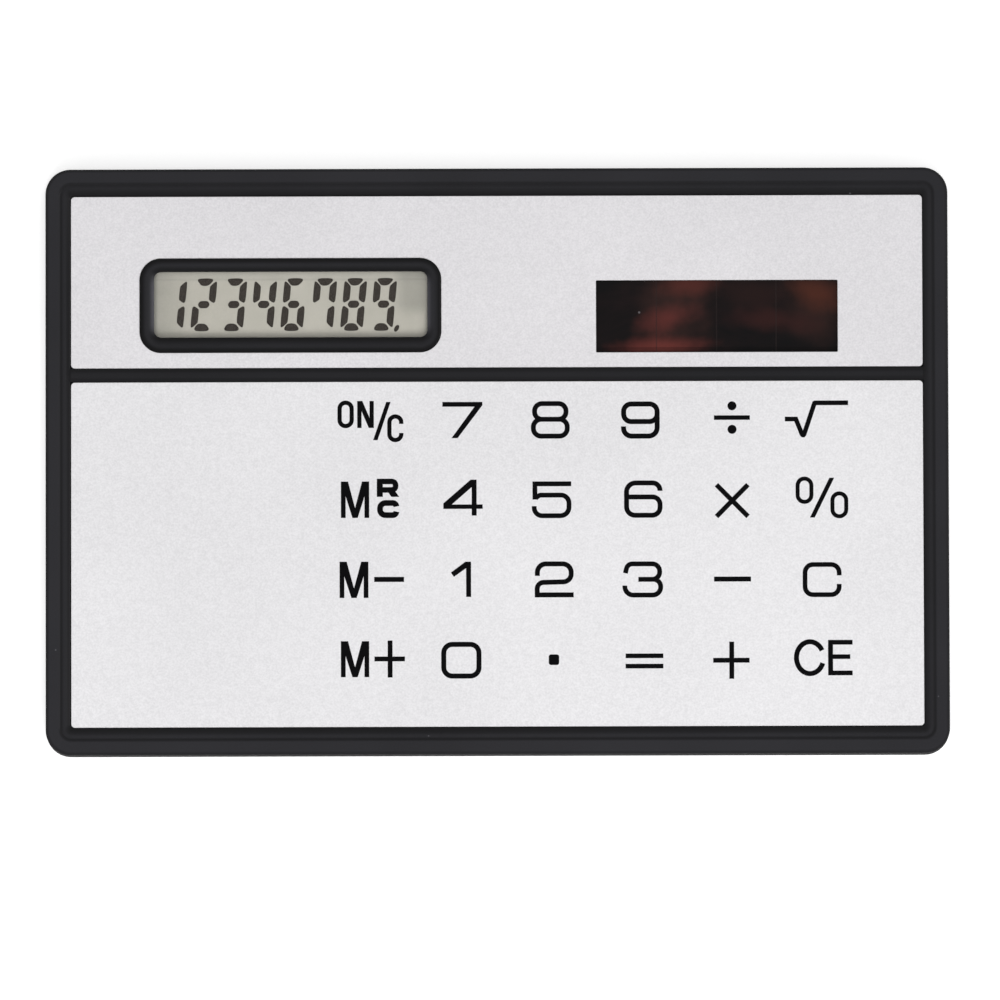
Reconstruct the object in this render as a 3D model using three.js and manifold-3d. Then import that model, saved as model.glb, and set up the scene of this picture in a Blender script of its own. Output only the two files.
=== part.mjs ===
// Card-size solar calculator with a flush film keypad.
// Millimetres, +Z up out of the face, +X along the long side, +Y towards the display.
// The origin is the centre of the flat back. The stack, from the back up: rear cover, foam pad,
// display and circuit board, contact spacer, adhesive, keypad film and faceplate, front frame.
import * as THREE from 'three';
import { mergeVertices } from 'three/addons/utils/BufferGeometryUtils.js';
import Module from 'manifold-3d';

const wasm = await Module();
wasm.setup();

// ---------------------------------------------------------------- driving dimensions
const LENGTH = 86.0; // along X
const WIDTH = 56.0; // along Y
const THICKNESS = 3.0; // along Z
const CORNER_R = 2.4; // plan corners of the case
const EDGE_ROUND = 0.32; // rounding of the outer front and back edges

const REAR_TOP = 1.33; // rear cover's wall ends here
const FRAME_BOTTOM = 1.36; // front frame's wall starts here, a hairline above
const FLOOR_T = 0.6; // rear cover's floor
const WALL_T = 1.0; // outer walls

// Front frame levels
const DECK_BOTTOM = 1.7;
const DECK_TOP = 2.4;
const BEAD_TOP = 2.9;
const GROOVE_BOTTOM = 2.78;
const BAR_TOP = 2.85;
const BEZEL_TOP = 2.9;

// Silver sheets: the pocket in the frame that holds both, and the bar between them
const POCKET_X = 40.62;
const POCKET_Y = 25.42;
const BAR_LOW = 7.7;
const BAR_HIGH = 8.99;
const BEAD_W = 0.85; // inner bead of the rim, from the pocket's edge
const GROOVE_W = 0.35; // groove between the bead and the outer band
const SHEET_LOW = 2.5;
const SHEET_TOP = 2.75;
const SHEET_GAP = 0.06;
const GLUE_LOW = 2.41;
const GLUE_TOP = 2.49;

// Display window and bezel ring
const RING = { x0: -33.99, y0: 10.46, x1: -5.33, y1: 19.4, r: 2.0 };
const WINDOW = { x0: -32.66, y0: 11.98, x1: -6.61, y1: 18.17, r: 0.7 };
const LENS_LOW = 2.13;
const LENS_TOP = 2.5;
const LENS_W = 27.6;
const LENS_H = 7.7;

// Display cell
const LCD = { x0: -34.35, x1: -4.92, y0: 10.6, y1: 19.9 };
const LEDGE_Y0 = 8.6; // the rear glass runs past the front glass to here
const FOAM_LOW = 0.62;
const FOAM_TOP = 1.07;
const REFLECTOR_LOW = 1.09;
const REFLECTOR_TOP = 1.2;
const REAR_GLASS_LOW = 1.22;
const REAR_GLASS_TOP = 1.6;
const FRONT_GLASS_LOW = 1.62;
const FRONT_GLASS_TOP = 2.0;
const POLARIZER_LOW = 2.01;
const POLARIZER_TOP = 2.1;
const LCD_POCKET = { x0: -34.55, x1: -4.72, y0: 8.4, y1: 20.1, top: 2.12 };

// Solar cell and its window in the faceplate
const SOLAR_WINDOW = { x0: 9.47, y0: 10.44, x1: 32.43, y1: 17.37 };
const SOLAR = { x0: 8.3, y0: 9.5, x1: 33.6, y1: 18.3 };
const SOLAR_LOW = 1.68;
const SOLAR_TOP = 2.38;
const LEAD_R = 0.3;
const LEAD_Z = 1.28;

// Keys: a flush film zone with a carbon contact pill under it
const KEY_PITCH_X = 8.57;
const KEY_PITCH_Y = 7.66;
const KEY_X0 = -12.06; // centre of the first column
const KEY_Y0 = 3.98; // centre of the top row
const KEY_W = 7.4;
const KEY_H = 6.0;
const KEY_R = 0.8;
const KEY_GAP = 0.05; // slit between a key zone and the film round it
const PILL_R = 2.0;
const PILL_T = 0.1;
const KEYS = [
  ['key_on_c', 'key_7', 'key_8', 'key_9', 'key_divide', 'key_sqrt'],
  ['key_mrc', 'key_4', 'key_5', 'key_6', 'key_multiply', 'key_percent'],
  ['key_m_minus', 'key_1', 'key_2', 'key_3', 'key_minus', 'key_c'],
  ['key_m_plus', 'key_0', 'key_decimal', 'key_equals', 'key_plus', 'key_ce'],
];

// Circuit board, spacer and what is soldered to the board
const BOARD = { x0: -21.0, y0: -24.0, x1: 36.0, y1: 7.5 };
const BOARD_LOW = 1.63;
const BOARD_TOP = 2.13;
const SPACER_LOW = 2.14;
const SPACER_TOP = 2.39;
const SPACER_HOLE = 0.15; // spacer holes are this much wider than a key zone on each side
const GLUE_HOLE = 0.2;
const BOARD_PEGS = [
  [-19.0, -22.0],
  [-19.0, 2.6],
];
const PEG_R = 0.7;
const PEG_HOLE_R = 0.8;
const CHIP = { x: -14.3, y: -7.5, r: 3.7, h: 0.84 };
const RIBBON = { x0: -20.3, x1: -6.3, t: 0.06 };

// Case fastening: pins on the frame pressed into bosses on the rear cover
const CASE_PINS = [
  [-38.3, 22.9],
  [38.3, 22.9],
  [-38.3, -22.9],
  [38.3, -22.9],
  [0.0, 22.9],
  [-27.0, -22.9],
];
const PIN_R = 0.6;
const PIN_HOLE_R = 0.68;
const BOSS_R = 1.4;

// ---------------------------------------------------------------- helpers
// Points of a rectangle with rounded corners, counter-clockwise.
function rounded(x0, y0, x1, y1, r = 0, n = 3) {
  if (r <= 0) return [[x0, y0], [x1, y0], [x1, y1], [x0, y1]].map((p) => new THREE.Vector2(...p));
  const corners = [[x1 - r, y0 + r, -90], [x1 - r, y1 - r, 0], [x0 + r, y1 - r, 90], [x0 + r, y0 + r, 180]];
  const points = [];
  for (const [cx, cy, start] of corners)
    for (let i = 0; i <= n; i++) {
      const a = ((start + (90 * i) / n) * Math.PI) / 180;
      points.push(new THREE.Vector2(cx + r * Math.cos(a), cy + r * Math.sin(a)));
    }
  return points;
}

function circle(cx, cy, r, n = 16) {
  return Array.from({ length: n }, (_, i) => {
    const a = (2 * Math.PI * i) / n;
    return new THREE.Vector2(cx + r * Math.cos(a), cy + r * Math.sin(a));
  });
}

// A closed three.js geometry as a solid for cutting and joining.
function solidOf(geometry) {
  const flat = geometry.index ? geometry.toNonIndexed() : geometry;
  const bare = new THREE.BufferGeometry().setAttribute('position', flat.getAttribute('position'));
  const merged = mergeVertices(bare, 1e-4);
  const index = merged.index.array;
  const kept = [];
  for (let i = 0; i < index.length; i += 3) {
    const [a, b, c] = [index[i], index[i + 1], index[i + 2]];
    if (a !== b && b !== c && a !== c) kept.push(a, b, c);
  }
  return new wasm.Manifold(
    new wasm.Mesh({ numProp: 3, vertProperties: merged.attributes.position.array, triVerts: new Uint32Array(kept) }),
  );
}

function geometryOf(solid) {
  const mesh = solid.getMesh();
  const positions = new Float32Array(mesh.numVert * 3);
  for (let i = 0; i < mesh.numVert; i++)
    positions.set(mesh.vertProperties.subarray(i * mesh.numProp, i * mesh.numProp + 3), i * 3);
  const indexed = new THREE.BufferGeometry().setAttribute('position', new THREE.BufferAttribute(positions, 3));
  indexed.setIndex(new THREE.BufferAttribute(new Uint32Array(mesh.triVerts), 1));
  const flat = indexed.toNonIndexed();
  flat.computeVertexNormals();
  return flat;
}

// A straight prism of an outline with holes, from z0 to z1.
function prism(points, z0, z1, holes = []) {
  const shape = new THREE.Shape(points);
  shape.holes = holes.map((h) => new THREE.Path(h));
  const g = new THREE.ExtrudeGeometry(shape, { depth: z1 - z0, bevelEnabled: false });
  return solidOf(g.translate(0, 0, z0));
}

// The same with its top and bottom edges rounded by b.
function softPrism(points, z0, z1, b, segments = 4) {
  const g = new THREE.ExtrudeGeometry(new THREE.Shape(points), {
    depth: z1 - z0 - 2 * b,
    bevelEnabled: true,
    bevelThickness: b,
    bevelSize: b,
    bevelOffset: -b,
    bevelSegments: segments,
  });
  return solidOf(g.translate(0, 0, z0 + b));
}

const block = (x0, y0, z0, x1, y1, z1) => solidOf(new THREE.BoxGeometry(x1 - x0, y1 - y0, z1 - z0).translate((x0 + x1) / 2, (y0 + y1) / 2, (z0 + z1) / 2));
const post = (x, y, r, z0, z1, n = 20) => prism(circle(x, y, r, n), z0, z1);
const grown = (b, d, r = b.r ?? 0, n = 3) => rounded(b.x0 - d, b.y0 - d, b.x1 + d, b.y1 + d, r > 0 ? r + d : 0, n);
const joinAll = (parts) => parts.reduce((a, b) => a.add(b));

const keyCentres = [];
KEYS.forEach((row, j) => row.forEach((name, i) => keyCentres.push({ name, x: KEY_X0 + KEY_PITCH_X * i, y: KEY_Y0 - KEY_PITCH_Y * j })));
const keyOutline = (k, d, n = 3) =>
  rounded(k.x - KEY_W / 2 - d, k.y - KEY_H / 2 - d, k.x + KEY_W / 2 + d, k.y + KEY_H / 2 + d, KEY_R + d, n);

// ---------------------------------------------------------------- materials
const finish = (color, roughness, metalness = 0, extra = {}) => new THREE.MeshStandardMaterial({ color, roughness, metalness, ...extra });
const M = {
  caseBlack: finish(0x2b2c30, 0.5),
  silverPlate: finish(0xdcdbde, 0.42, 0.5),
  silverFilm: finish(0xe4e4e7, 0.45, 0.4),
  clear: finish(0xf4f6f5, 0.08, 0, { transparent: true, opacity: 0.25 }),
  glass: finish(0xdfe8e2, 0.05, 0, { transparent: true, opacity: 0.35 }),
  polarizer: finish(0xbdbfb4, 0.25, 0, { transparent: true, opacity: 0.6 }),
  reflector: finish(0xb9bbae, 0.45),
  foam: finish(0x3c3d40, 0.95),
  silicon: finish(0x1d1716, 0.12),
  board: finish(0x2f6a45, 0.5),
  epoxy: finish(0x121213, 0.3),
  spacer: finish(0xe6e4da, 0.4),
  adhesive: finish(0xd9d6c8, 0.7),
  ribbon: finish(0xb98a3c, 0.4),
  red: finish(0xb3261e, 0.5),
  black: finish(0x1a1a1c, 0.5),
  tan: finish(0xb08d5c, 0.5),
  dark: finish(0x29292b, 0.45),
};

const calculator = new THREE.Group();
const caseGroup = new THREE.Group();
const keypad = new THREE.Group();
const display = new THREE.Group();
const power = new THREE.Group();
const electronics = new THREE.Group();
calculator.add(caseGroup, keypad, display, power, electronics);

function place(group, name, solid, material, at = [0, 0, 0]) {
  const mesh = new THREE.Mesh(solid.isBufferGeometry ? solid : geometryOf(solid), material);
  mesh.name = name;
  mesh.position.set(...at);
  group.add(mesh);
  return mesh;
}

// ---------------------------------------------------------------- case
const HX = LENGTH / 2;
const HY = WIDTH / 2;
// Outer envelope that both case halves share.
const envelope = softPrism(rounded(-HX, -HY, HX, HY, CORNER_R, 10), 0, THICKNESS, EDGE_ROUND, 4);
const inset = (d, r = CORNER_R - d, n = 6) => rounded(-HX + d, -HY + d, HX - d, HY - d, Math.max(r, 0.3), n);

// Rear cover: floor and wall, an inner lip that locates the frame, ribs that carry the board,
// walls round the display, ribs under the solar cell, bosses for the case pins and board pegs.
let rear = envelope.intersect(block(-50, -40, -1, 50, 40, REAR_TOP));
rear = rear.subtract(prism(inset(WALL_T), FLOOR_T, 5));
const LIP_OUT = WALL_T + 0.04;
const lip = prism(inset(LIP_OUT, 1.36), FLOOR_T - 0.2, 1.62, [inset(LIP_OUT + 0.6, 0.8)]);
// The lip's root is joined to the wall by a low plinth.
const plinth = prism(inset(WALL_T - 0.3, 1.7), FLOOR_T - 0.2, 1.1, [inset(LIP_OUT + 0.6, 0.8)]);
rear = joinAll([rear, lip, plinth]);

const chipRoom = post(CHIP.x, CHIP.y, CHIP.r + 0.8, FLOOR_T, 5);
let ribs = joinAll(
  [-7.78, 0.79, 9.37, 17.94, 26.5, 35.2].map((x) => block(x - 0.4, -23.6, FLOOR_T - 0.1, x + 0.4, 3.9, BOARD_LOW - 0.02)),
).add(block(-20.9, -23.6, FLOOR_T - 0.1, 35.6, -22.9, BOARD_LOW - 0.02));
ribs = ribs.subtract(chipRoom);
rear = rear.add(ribs);

const lcdWall = prism(rounded(LCD_POCKET.x0 - 0.75, LCD_POCKET.y0 - 0.65, LCD_POCKET.x1 + 0.75, LCD_POCKET.y1 + 0.65, 0.4, 2), FLOOR_T - 0.1, 1.66, [
  rounded(LCD_POCKET.x0 - 0.1, LCD_POCKET.y0 - 0.05, LCD_POCKET.x1 + 0.1, LCD_POCKET.y1 + 0.05),
]).subtract(block(RIBBON.x0 - 0.4, 6, 1.42, RIBBON.x1 + 0.4, 9.2, 3));
rear = rear.add(lcdWall);
rear = rear.add(block(15.1, 9.9, FLOOR_T - 0.1, 15.9, 17.9, SOLAR_LOW - 0.02)).add(block(26.1, 9.9, FLOOR_T - 0.1, 26.9, 17.9, SOLAR_LOW - 0.02));
rear = rear.add(joinAll(CASE_PINS.map(([x, y]) => post(x, y, BOSS_R, FLOOR_T - 0.1, 1.65))));
rear = rear.subtract(joinAll(CASE_PINS.map(([x, y]) => post(x, y, PIN_HOLE_R, FLOOR_T, 5))));
rear = rear.add(joinAll(BOARD_PEGS.map(([x, y]) => post(x, y, 1.3, FLOOR_T - 0.1, BOARD_LOW - 0.02).add(post(x, y, PEG_R, FLOOR_T, BOARD_TOP - 0.03)))));
place(caseGroup, 'rear_cover', rear, M.caseBlack);

// Front frame: rim with an inner bead and groove, deck, bar between the two silver sheets and
// the bezel ring round the display window.
let frame = envelope.intersect(block(-50, -40, FRAME_BOTTOM, 50, 40, 9));
const pocketOutline = (d, r) => rounded(-POCKET_X - d, -POCKET_Y - d, POCKET_X + d, POCKET_Y + d, r, 4);
frame = frame.subtract(prism(pocketOutline(BEAD_W + GROOVE_W, 1.25), BEAD_TOP, 9));
frame = frame.subtract(prism(pocketOutline(BEAD_W + GROOVE_W, 1.25), GROOVE_BOTTOM, 9, [pocketOutline(BEAD_W, 0.95)]));
frame = frame.subtract(prism(pocketOutline(0, 0.4), BAR_TOP, 9));
frame = frame.subtract(prism(rounded(-POCKET_X, BAR_HIGH, POCKET_X, POCKET_Y, 0.4, 4), DECK_TOP, 9));
frame = frame.subtract(prism(rounded(-POCKET_X, -POCKET_Y, POCKET_X, BAR_LOW, 0.4, 4), DECK_TOP, 9));
const ring = softPrism(grown(RING, 0, RING.r, 8), DECK_TOP - 0.5, BEZEL_TOP, 0.14, 3);
frame = frame.add(ring);
frame = frame.subtract(prism(grown(WINDOW, 0, WINDOW.r, 5), 1, 9));
const LENS_C = [(WINDOW.x0 + WINDOW.x1) / 2, (WINDOW.y0 + WINDOW.y1) / 2];
const lensOutline = (d) =>
  rounded(LENS_C[0] - LENS_W / 2 - d, LENS_C[1] - LENS_H / 2 - d, LENS_C[0] + LENS_W / 2 + d, LENS_C[1] + LENS_H / 2 + d, 0.6, 3);
frame = frame.subtract(prism(lensOutline(0.1), 1, LENS_TOP + 0.02));
frame = frame.subtract(block(LCD_POCKET.x0, LCD_POCKET.y0, 1, LCD_POCKET.x1, LCD_POCKET.y1, LCD_POCKET.top));
frame = frame.subtract(block(SOLAR.x0 - 0.2, SOLAR.y0 - 0.2, 1, SOLAR.x1 + 0.2, SOLAR.y1 + 0.2, 9));
frame = frame.subtract(block(BOARD.x0 - 0.3, BOARD.y0 - 0.3, 1, BOARD.x1 + 0.3, BOARD.y1 + 0.1, DECK_TOP + 0.01));
frame = frame.subtract(prism(inset(WALL_T - 0.04, 1.44), 1, DECK_BOTTOM));
frame = frame.add(joinAll(CASE_PINS.map(([x, y]) => post(x, y, PIN_R, 0.75, DECK_BOTTOM + 0.2))));
place(caseGroup, 'front_frame', frame, M.caseBlack);

// Upper silver faceplate and its adhesive sheet.
const PLATE_X = POCKET_X - SHEET_GAP;
const PLATE_Y = POCKET_Y - SHEET_GAP;
const plateOuter = rounded(-PLATE_X, BAR_HIGH + 0.03, PLATE_X, PLATE_Y, 0.35, 3);
place(
  caseGroup,
  'faceplate',
  prism(plateOuter, SHEET_LOW, SHEET_TOP, [grown(RING, 0.05, RING.r, 8), rounded(SOLAR_WINDOW.x0, SOLAR_WINDOW.y0, SOLAR_WINDOW.x1, SOLAR_WINDOW.y1, 0.12, 1)]),
  M.silverPlate,
);
place(
  caseGroup,
  'faceplate_adhesive',
  prism(rounded(-PLATE_X + 0.3, BAR_HIGH + 0.35, PLATE_X - 0.3, PLATE_Y - 0.3), GLUE_LOW, GLUE_TOP, [grown(RING, 0.35, RING.r, 3), rounded(SOLAR.x0 - 0.1, SOLAR.y0 - 0.05, SOLAR.x1 + 0.1, SOLAR.y1 + 0.1)]),
  M.adhesive,
);

// ---------------------------------------------------------------- keypad
const filmOuter = rounded(-PLATE_X, -PLATE_Y, PLATE_X, BAR_LOW - 0.03, 0.35, 3);
place(keypad, 'keypad_overlay', prism(filmOuter, SHEET_LOW, SHEET_TOP, keyCentres.map((k) => keyOutline(k, KEY_GAP))), M.silverFilm);
place(
  keypad,
  'overlay_adhesive',
  prism(rounded(-PLATE_X + 0.3, -PLATE_Y + 0.3, PLATE_X - 0.3, BAR_LOW - 0.15), GLUE_LOW, GLUE_TOP, keyCentres.map((k) => keyOutline(k, GLUE_HOLE, 2))),
  M.adhesive,
);
place(
  keypad,
  'contact_spacer',
  prism(rounded(BOARD.x0, BOARD.y0, BOARD.x1, BOARD.y1), SPACER_LOW, SPACER_TOP, keyCentres.map((k) => keyOutline(k, SPACER_HOLE, 2))),
  M.spacer,
);

// One key zone, modelled about its own centre with z = 0 at the film's underside.
const keyZone = prism(rounded(-KEY_W / 2, -KEY_H / 2, KEY_W / 2, KEY_H / 2, KEY_R, 3), 0, SHEET_TOP - SHEET_LOW).add(
  prism(circle(0, 0, PILL_R, 16), -PILL_T, 0.05),
);
const keyGeometry = geometryOf(keyZone);
for (const k of keyCentres) place(keypad, k.name, keyGeometry.clone(), M.silverFilm, [k.x, k.y, SHEET_LOW]);

// ---------------------------------------------------------------- display
place(display, 'display_window', prism(lensOutline(0), LENS_LOW, LENS_TOP), M.clear);
const film = rounded(LCD.x0 + 0.35, LCD.y0 + 0.35, LCD.x1 - 0.35, LCD.y1 - 0.35);
place(display, 'lcd_front_polarizer', prism(film, POLARIZER_LOW, POLARIZER_TOP), M.polarizer);
place(display, 'lcd_front_glass', prism(rounded(LCD.x0, LCD.y0, LCD.x1, LCD.y1), FRONT_GLASS_LOW, FRONT_GLASS_TOP), M.glass);
place(display, 'lcd_rear_glass', prism(rounded(LCD.x0, LEDGE_Y0, LCD.x1, LCD.y1), REAR_GLASS_LOW, REAR_GLASS_TOP), M.glass);
place(display, 'lcd_reflector', prism(film, REFLECTOR_LOW, REFLECTOR_TOP), M.reflector);
place(display, 'display_foam_pad', prism(rounded(LCD.x0 + 0.8, LEDGE_Y0 + 0.7, LCD.x1 - 0.8, LCD.y1 - 0.4), FOAM_LOW, FOAM_TOP), M.foam);

// Heat-sealed ribbon: lies on the rear glass's ledge, steps down and ends under the board.
const onLedge = REAR_GLASS_TOP + 0.01;
const underBoard = BOARD_LOW - 0.02 - RIBBON.t;
const ribbonLine = [[10.4, onLedge], [8.5, onLedge], [8.3, onLedge - 0.008], [8.05, (onLedge + underBoard) / 2], [7.8, underBoard + 0.008], [7.6, underBoard], [4.6, underBoard]];
const ribbonProfile = [...ribbonLine.map(([y, z]) => new THREE.Vector2(y, z + RIBBON.t)), ...ribbonLine.slice().reverse().map(([y, z]) => new THREE.Vector2(y, z))];
const ribbon = new THREE.ExtrudeGeometry(new THREE.Shape(ribbonProfile), { depth: RIBBON.x1 - RIBBON.x0, bevelEnabled: false });
// Profile axes are (Y, Z); the extrusion runs along X.
ribbon.applyMatrix4(new THREE.Matrix4().makeBasis(new THREE.Vector3(0, 1, 0), new THREE.Vector3(0, 0, 1), new THREE.Vector3(1, 0, 0)));
place(display, 'display_ribbon', solidOf(ribbon), M.ribbon, [RIBBON.x0, 0, 0]);

// ---------------------------------------------------------------- power
place(power, 'solar_cell', prism(rounded(SOLAR.x0, SOLAR.y0, SOLAR.x1, SOLAR.y1), SOLAR_LOW, SOLAR_TOP), M.silicon);

// Two insulated leads from the back of the cell to the underside of the board.
function lead(points) {
  const path = new THREE.CatmullRomCurve3(points.map((p) => new THREE.Vector3(...p)), false, 'centripetal');
  const section = new THREE.Shape(circle(0, 0, LEAD_R, 8));
  return new THREE.ExtrudeGeometry(section, { steps: 10, extrudePath: path, bevelEnabled: false });
}
place(power, 'solar_lead_positive', solidOf(lead([[30.6, 12.4, LEAD_Z], [30.6, 10.2, LEAD_Z], [31.2, 7.6, LEAD_Z], [31.2, 4.9, LEAD_Z]])), M.red);
place(power, 'solar_lead_negative', solidOf(lead([[11.4, 12.4, LEAD_Z], [11.4, 10.2, LEAD_Z], [13.4, 7.6, LEAD_Z], [13.4, 4.9, LEAD_Z]])), M.black);

// ---------------------------------------------------------------- electronics
place(
  electronics,
  'circuit_board',
  prism(rounded(BOARD.x0, BOARD.y0, BOARD.x1, BOARD.y1, 0.5, 1), BOARD_LOW, BOARD_TOP, BOARD_PEGS.map(([x, y]) => circle(x, y, PEG_HOLE_R, 16))),
  M.board,
);
// Epoxy dome over the chip, hanging under the board.
const dome = [[0, 0], [CHIP.r, 0], [CHIP.r - 0.1, -0.22], [CHIP.r - 0.6, -0.5], [CHIP.r - 1.5, -0.7], [1.0, -0.82], [0, -CHIP.h]].map((p) => new THREE.Vector2(...p));
const domeGeometry = new THREE.LatheGeometry(dome.reverse(), 24);
domeGeometry.rotateX(Math.PI / 2);
place(electronics, 'chip_epoxy_dome', solidOf(domeGeometry), M.epoxy, [CHIP.x, CHIP.y, BOARD_LOW - 0.01]);
// Chip capacitor, clamp diode and oscillator resistor, soldered under the board.
const chipPart = (w, d, h) => softPrism(rounded(-w / 2, -d / 2, w / 2, d / 2, 0.08, 1), -h, 0, 0.05, 1);
place(electronics, 'supply_capacitor', chipPart(3.2, 1.6, 0.8), M.tan, [-14.6, -16.0, BOARD_LOW - 0.01]);
place(electronics, 'clamp_diode', chipPart(2.6, 1.4, 0.7), M.dark, [-14.6, -19.5, BOARD_LOW - 0.01]);
place(electronics, 'oscillator_resistor', chipPart(2.0, 1.25, 0.5), M.dark, [-13.2, 1.2, BOARD_LOW - 0.01]);

export default calculator;
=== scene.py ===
# Looks for the card-size solar calculator. Everything is in metres in the row frame;
# shapes below are written in millimetres and scaled once, in mesh().
import math

import bmesh
import bpy
import numpy as np
from mathutils import Matrix, Vector
from mathutils.geometry import delaunay_2d_cdt


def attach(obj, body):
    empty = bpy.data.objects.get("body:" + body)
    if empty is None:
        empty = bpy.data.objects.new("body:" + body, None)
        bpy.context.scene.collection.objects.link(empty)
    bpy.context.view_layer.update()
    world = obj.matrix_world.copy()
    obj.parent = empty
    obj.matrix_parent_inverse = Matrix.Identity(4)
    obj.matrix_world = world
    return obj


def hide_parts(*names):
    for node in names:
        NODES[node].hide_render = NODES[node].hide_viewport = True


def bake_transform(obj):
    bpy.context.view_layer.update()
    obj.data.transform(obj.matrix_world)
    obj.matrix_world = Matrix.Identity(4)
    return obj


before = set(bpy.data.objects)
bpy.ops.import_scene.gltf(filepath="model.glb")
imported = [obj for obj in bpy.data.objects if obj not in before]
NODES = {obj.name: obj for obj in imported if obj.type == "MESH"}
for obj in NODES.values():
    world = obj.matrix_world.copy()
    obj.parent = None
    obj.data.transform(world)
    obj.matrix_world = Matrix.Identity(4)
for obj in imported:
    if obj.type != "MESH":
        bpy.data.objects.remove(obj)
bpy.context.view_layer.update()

MM = 0.001

# ------------------------------------------------------------------ sizes, mm
HX, HY, TOP = 43.0, 28.0, 3.0
CORNER_R = 2.4
POCKET_X, POCKET_Y, POCKET_R = 40.62, 25.42, 0.4
BAND = HX - POCKET_X  # 2.38 on the long sides
BAND_Y = HY - POCKET_Y  # 2.58 on the short ones
REAR_TOP, FRAME_BOTTOM = 1.33, 1.36
DECK_BOTTOM, DECK_TOP = 1.7, 2.4
BAR_LOW, BAR_HIGH = 7.62, 8.92
SHEET_LOW, SHEET_TOP = 2.5, 2.75
SHEET_X, SHEET_Y = POCKET_X - 0.06, POCKET_Y - 0.06
RING = (-33.99, 10.46, -5.33, 19.4)
WINDOW = (-32.66, 11.89, -6.61, 18.17)
SOLAR_WINDOW = (9.46, 10.35, 32.49, 17.26)
SOLAR = (8.3, 9.5, 33.6, 18.3)
SOLAR_LOW, SOLAR_TOP = 1.68, 2.38
PITCH_X, PITCH_Y, FIRST_X, FIRST_Y = 8.57, 7.66, -12.06, 3.98
PATCH_X, PATCH_Y = 3.9, 3.2  # half size of the film over one key
KEYS = [
    ["key_on_c", "key_7", "key_8", "key_9", "key_divide", "key_sqrt"],
    ["key_mrc", "key_4", "key_5", "key_6", "key_multiply", "key_percent"],
    ["key_m_minus", "key_1", "key_2", "key_3", "key_minus", "key_c"],
    ["key_m_plus", "key_0", "key_decimal", "key_equals", "key_plus", "key_ce"],
]
CENTRE = {
    name: (FIRST_X + PITCH_X * i, FIRST_Y - PITCH_Y * j)
    for j, row in enumerate(KEYS)
    for i, name in enumerate(row)
}


# ------------------------------------------------------------------ mesh helpers
def mesh(name, points, faces):
    """A mesh datablock from points in millimetres."""
    me = bpy.data.meshes.new(name)
    me.from_pydata([(x * MM, y * MM, z * MM) for x, y, z in points], [], faces)
    me.validate()
    me.update()
    return me


def solid(name, points, faces):
    """The same as an object, with its faces turned outwards."""
    me = mesh(name, points, faces)
    bm = bmesh.new()
    bm.from_mesh(me)
    bmesh.ops.recalc_face_normals(bm, faces=bm.faces[:])
    bm.to_mesh(me)
    bm.free()
    o = bpy.data.objects.new(name, me)
    bpy.context.scene.collection.objects.link(o)
    return o


def rounded(x0, y0, x1, y1, r, n=12):
    """Rectangle with rounded corners, counter-clockwise, 4 * (n + 1) points."""
    points = []
    for cx, cy, start in (
        (x1 - r, y0 + r, -90),
        (x1 - r, y1 - r, 0),
        (x0 + r, y1 - r, 90),
        (x0 + r, y0 + r, 180),
    ):
        for i in range(n + 1):
            a = math.radians(start + 90 * i / n)
            points.append((cx + r * math.cos(a), cy + r * math.sin(a)))
    return points


def loft(loops, closed=False, caps=True):
    """Points and faces through loops [(outline, z), ...] of equal length; closed joins the last to the first."""
    points, faces = [], []
    n = len(loops[0][0])
    for outline, z in loops:
        points += [(x, y, z) for x, y in outline]
    m = len(loops)
    for a in range(m if closed else m - 1):
        b = (a + 1) % m
        for i in range(n):
            j = (i + 1) % n
            faces.append((a * n + i, a * n + j, b * n + j, b * n + i))
    if not closed and caps:
        faces.append(tuple(reversed(range(n))))
        faces.append(tuple((m - 1) * n + i for i in range(n)))
    return points, faces


def shade(o, angle=32, weighted=True):
    """Smooth shading with sharp creases; the weighted normals keep flat faces flat."""
    o.data.shade_smooth()
    o.data.set_sharp_from_angle(angle=math.radians(angle))
    if weighted:
        w = o.modifiers.new("normals", "WEIGHTED_NORMAL")
        w.keep_sharp = True
        w.weight = 80
    return o


def weld(o, distance=2e-7):
    bm = bmesh.new()
    bm.from_mesh(o.data)
    bmesh.ops.remove_doubles(bm, verts=bm.verts[:], dist=distance)
    bmesh.ops.dissolve_degenerate(bm, edges=bm.edges[:], dist=distance)
    for f in [f for f in bm.faces if len(f.verts) == 3 and f.calc_area() < 1e-14]:
        # three points in a line: the face goes and its middle point joins the long side
        if f.is_valid:
            side = max(f.edges, key=lambda e: e.calc_length())
            tip = next(v for v in f.verts if v not in side.verts)
            start = side.verts[0]
            share = (tip.co - start.co).length / side.calc_length()
            bmesh.ops.delete(bm, geom=[f], context="FACES_ONLY")
            joint = bmesh.utils.edge_split(side, start, share)[1]
            bmesh.ops.pointmerge(bm, verts=[tip, joint], merge_co=tip.co)
    bmesh.ops.delete(bm, geom=[e for e in bm.edges if not e.link_faces], context="EDGES")
    bmesh.ops.delete(bm, geom=[v for v in bm.verts if not v.link_edges], context="VERTS")
    bmesh.ops.recalc_face_normals(bm, faces=bm.faces[:])
    bm.to_mesh(o.data)
    bm.free()
    o.data.update()
    return o


def cad_copy(node, name):
    """A welded copy of a CAD node's mesh as a new object."""
    me = NODES[node].data.copy()
    me.name = name
    me.materials.clear()
    if me.has_custom_normals:
        me.attributes.remove(me.attributes["custom_normal"])
    o = bpy.data.objects.new(name, me)
    bpy.context.scene.collection.objects.link(o)
    return weld(o, 5e-7)


def block(name, x0, y0, z0, x1, y1, z1):
    return solid(name, *loft([([(x0, y0), (x1, y0), (x1, y1), (x0, y1)], z) for z in (z0, z1)]))


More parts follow.
